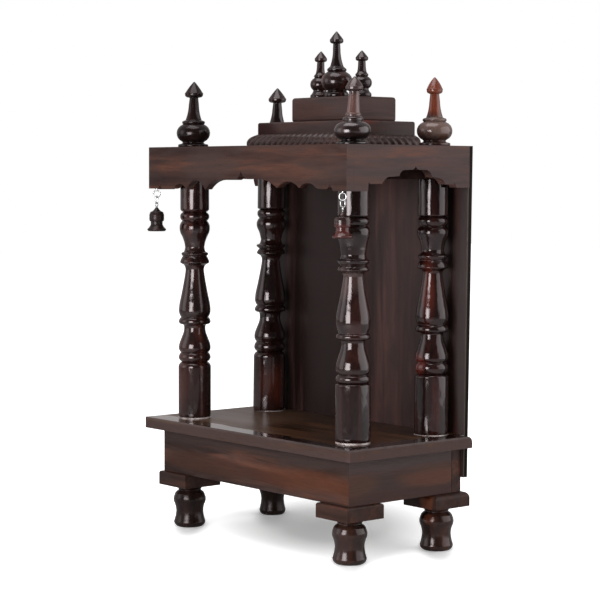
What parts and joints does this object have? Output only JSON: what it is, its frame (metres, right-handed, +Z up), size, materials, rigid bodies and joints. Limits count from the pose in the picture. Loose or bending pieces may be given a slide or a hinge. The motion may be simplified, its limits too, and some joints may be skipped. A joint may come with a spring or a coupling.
{
  "type": "wooden pooja mandir",
  "caption": "Open wooden home shrine: turned feet and pillars, boxed base, back panel, roof box with cut lower edges, stepped top with turned finials, and small hanging bells.",
  "frame": {"origin": "middle of the footprint, on the floor", "axes": "+Z up, +Y to the back panel, +X to the right seen from the front"},
  "size_m": [0.4676, 0.2482, 0.7391],
  "materials": {
    "turned_wood": "dark stained turned wood under gloss lacquer",
    "board_wood": "dark red-brown stained board under gloss lacquer",
    "panel_wood": "brown stained board, satin",
    "tier_wood": "dark stained wood, satin lacquer",
    "red_wood": "redder stained turned wood under gloss lacquer",
    "bright_metal": "bright plated steel wire"
  },
  "bodies": {
    "shrine": {"foot_front_left": "turned_wood", "foot_front_right": "turned_wood", "foot_back_left": "turned_wood", "foot_back_right": "turned_wood", "foot_plate_front_left": "board_wood", "foot_plate_front_right": "board_wood", "foot_plate_back_left": "board_wood", "foot_plate_back_right": "board_wood", "apron_front": "board_wood", "apron_back": "board_wood", "apron_left": "board_wood", "apron_right": "board_wood", "base_slab": "board_wood", "pillar_front_left": "turned_wood", "pillar_front_right": "turned_wood", "pillar_back_left": "turned_wood", "pillar_back_right": "turned_wood", "back_panel": "panel_wood", "fascia_front": "board_wood", "fascia_left": "board_wood", "fascia_right": "board_wood", "ceiling_board": "panel_wood", "roof_board": "panel_wood", "tier_lower": "tier_wood", "tier_upper": "tier_wood", "rope_moulding_front": "tier_wood", "rope_moulding_left": "tier_wood", "rope_moulding_right": "tier_wood", "finial_front_left": "turned_wood", "finial_front_right": "turned_wood", "finial_back_left": "turned_wood", "finial_back_right": "red_wood", "finial_centre": "turned_wood", "finial_small_left": "turned_wood", "finial_small_right": "turned_wood", "screw_eye_left": "bright_metal", "screw_eye_right": "bright_metal"},
    "left_chain": {"chain_link_left": "bright_metal"},
    "left_bell": {"bell_eye_left": "bright_metal", "bell_left": "turned_wood"},
    "right_chain": {"chain_link_right": "bright_metal"},
    "right_bell": {"bell_eye_right": "bright_metal", "bell_right": "red_wood"}
  },
  "joints": [
    {"name": "left_chain_swing", "type": "hinge", "parent": "shrine", "child": "left_chain", "pos_m": [-0.2115, -0.11013, 0.4949], "axis": [0.6428, 0.766, 0], "range_deg": [-35, 35]},
    {"name": "left_bell_swing", "type": "hinge", "parent": "left_chain", "child": "left_bell", "pos_m": [-0.2115, -0.11013, 0.4857], "axis": [0.9848, -0.1736, 0], "range_deg": [-35, 15]},
    {"name": "right_chain_swing", "type": "hinge", "parent": "shrine", "child": "right_chain", "pos_m": [0.2115, -0.11013, 0.4949], "axis": [0.9397, 0.342, 0], "range_deg": [-35, 10]},
    {"name": "right_bell_swing", "type": "hinge", "parent": "right_chain", "child": "right_bell", "pos_m": [0.2115, -0.11013, 0.4857], "axis": [0.0872, 0.9962, 0], "range_deg": [-35, 10]}
  ]
}
